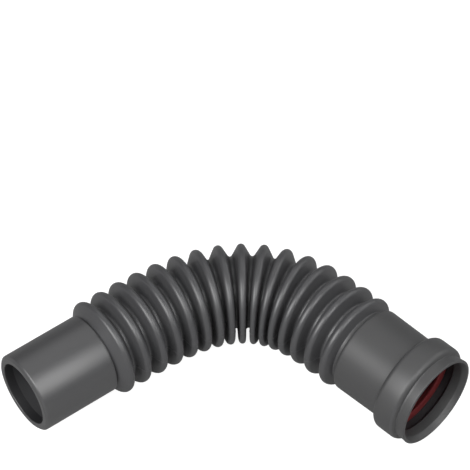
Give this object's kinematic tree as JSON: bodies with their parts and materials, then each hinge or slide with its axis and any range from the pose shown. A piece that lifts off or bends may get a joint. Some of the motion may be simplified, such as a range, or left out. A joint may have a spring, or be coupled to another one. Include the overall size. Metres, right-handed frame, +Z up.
{
  "type": "flexible sewer hose connector",
  "caption": "Short flexible sewer and waste hose connector: plain spigot, bellows of rounded convolutions bent in an arch, and a push-fit socket with a red rubber lip seal.",
  "frame": {"origin": "centre of the bounding box, on the ground that the hose lies on", "axes": "+X along the longest extent, from the spigot end to the socket end; +Y towards the outside of the arch; +Z up"},
  "size_m": [0.2748, 0.1408, 0.0637],
  "materials": {
    "plastic": "moulded polypropylene, anthracite grey, satin",
    "seal_rubber": "red rubber, matt"
  },
  "bodies": {
    "socket_end": {"socket": "plastic", "lip_seal": "seal_rubber", "convolution_16": "plastic"},
    "ring_15": {"convolution_15": "plastic", "fold_15": "plastic"},
    "ring_14": {"convolution_14": "plastic", "fold_14": "plastic"},
    "ring_13": {"convolution_13": "plastic", "fold_13": "plastic"},
    "ring_12": {"convolution_12": "plastic", "fold_12": "plastic"},
    "ring_11": {"convolution_11": "plastic", "fold_11": "plastic"},
    "ring_10": {"convolution_10": "plastic", "fold_10": "plastic"},
    "ring_09": {"convolution_09": "plastic", "fold_09": "plastic"},
    "ring_08": {"convolution_08": "plastic", "fold_08": "plastic"},
    "ring_07": {"convolution_07": "plastic", "fold_07": "plastic"},
    "ring_06": {"convolution_06": "plastic", "fold_06": "plastic"},
    "ring_05": {"convolution_05": "plastic", "fold_05": "plastic"},
    "ring_04": {"convolution_04": "plastic", "fold_04": "plastic"},
    "ring_03": {"convolution_03": "plastic", "fold_03": "plastic"},
    "ring_02": {"convolution_02": "plastic", "fold_02": "plastic"},
    "spigot_end": {"spigot": "plastic", "convolution_01": "plastic", "fold_01": "plastic"}
  },
  "joints": [
    {"name": "bend_15", "type": "hinge", "parent": "socket_end", "child": "ring_15", "pos_m": [0.07822, 0.01036, 0.03116], "axis": [-0.0056, 0.0107, 0.9999], "range_deg": [-5.5, 6.5], "deforming": ["fold_15"]},
    {"name": "bend_14", "type": "hinge", "parent": "ring_15", "child": "ring_14", "pos_m": [0.06983, 0.01976, 0.03101], "axis": [-0.0056, 0.0107, 0.9999], "range_deg": [-5.5, 6.5], "deforming": ["fold_14"]},
    {"name": "bend_13", "type": "hinge", "parent": "ring_14", "child": "ring_13", "pos_m": [0.06104, 0.02879, 0.03087], "axis": [-0.0056, 0.0107, 0.9999], "range_deg": [-5.5, 6.5], "deforming": ["fold_13"]},
    {"name": "bend_12", "type": "hinge", "parent": "ring_13", "child": "ring_12", "pos_m": [0.05152, 0.03704, 0.03073], "axis": [-0.0056, 0.0107, 0.9999], "range_deg": [-10.7, 1], "deforming": ["fold_12"]},
    {"name": "bend_11", "type": "hinge", "parent": "ring_12", "child": "ring_11", "pos_m": [0.04102, 0.04399, 0.03059], "axis": [-0.0056, 0.0107, 0.9999], "range_deg": [-13.48, 1.27], "deforming": ["fold_11"]},
    {"name": "bend_10", "type": "hinge", "parent": "ring_11", "child": "ring_10", "pos_m": [0.02953, 0.04916, 0.03047], "axis": [-0.0056, 0.0107, 0.9999], "range_deg": [-14.51, 1.36], "deforming": ["fold_10"]},
    {"name": "bend_09", "type": "hinge", "parent": "ring_10", "child": "ring_09", "pos_m": [0.01731, 0.05226, 0.03037], "axis": [-0.0056, 0.0107, 0.9999], "range_deg": [-14.13, 1.33], "deforming": ["fold_09"]},
    {"name": "bend_08", "type": "hinge", "parent": "ring_09", "child": "ring_08", "pos_m": [0.00475, 0.05325, 0.03029], "axis": [-0.0056, 0.0107, 0.9999], "range_deg": [-13.4, 2.4], "deforming": ["fold_08"]},
    {"name": "bend_07", "type": "hinge", "parent": "ring_08", "child": "ring_07", "pos_m": [-0.00781, 0.05226, 0.03023], "axis": [-0.0056, 0.0107, 0.9999], "range_deg": [-11.68, 2.1], "deforming": ["fold_07"]},
    {"name": "bend_06", "type": "hinge", "parent": "ring_07", "child": "ring_06", "pos_m": [-0.02012, 0.04957, 0.03019], "axis": [-0.0056, 0.0107, 0.9999], "range_deg": [-9.53, 1.72], "deforming": ["fold_06"]},
    {"name": "bend_05", "type": "hinge", "parent": "ring_06", "child": "ring_05", "pos_m": [-0.03205, 0.04553, 0.03016], "axis": [-0.0056, 0.0107, 0.9999], "range_deg": [-7.22, 1.3], "deforming": ["fold_05"]},
    {"name": "bend_04", "type": "hinge", "parent": "ring_05", "child": "ring_04", "pos_m": [-0.04361, 0.0405, 0.03015], "axis": [-0.0056, 0.0107, 0.9999], "range_deg": [-5.2, 8], "deforming": ["fold_04"]},
    {"name": "bend_03", "type": "hinge", "parent": "ring_04", "child": "ring_03", "pos_m": [-0.05485, 0.03481, 0.03015], "axis": [-0.0056, 0.0107, 0.9999], "range_deg": [-5.2, 8], "deforming": ["fold_03"]},
    {"name": "bend_02", "type": "hinge", "parent": "ring_03", "child": "ring_02", "pos_m": [-0.06587, 0.02871, 0.03015], "axis": [-0.0056, 0.0107, 0.9999], "range_deg": [-5.2, 8], "deforming": ["fold_02"]},
    {"name": "bend_01", "type": "hinge", "parent": "ring_02", "child": "spigot_end", "pos_m": [-0.07677, 0.02238, 0.03016], "axis": [-0.0056, 0.0107, 0.9999], "range_deg": [-5.2, 8], "deforming": ["fold_01"]}
  ],
  "couplings": [
    {"joint": "bend_14", "follows": "bend_15", "ratio": 1},
    {"joint": "bend_13", "follows": "bend_15", "ratio": 1},
    {"joint": "bend_11", "follows": "bend_12", "ratio": 1.2588},
    {"joint": "bend_10", "follows": "bend_12", "ratio": 1.355},
    {"joint": "bend_09", "follows": "bend_12", "ratio": 1.3198},
    {"joint": "bend_07", "follows": "bend_08", "ratio": 0.8708},
    {"joint": "bend_06", "follows": "bend_08", "ratio": 0.7105},
    {"joint": "bend_05", "follows": "bend_08", "ratio": 0.5379},
    {"joint": "bend_03", "follows": "bend_04", "ratio": 1},
    {"joint": "bend_02", "follows": "bend_04", "ratio": 1},
    {"joint": "bend_01", "follows": "bend_04", "ratio": 1}
  ]
}
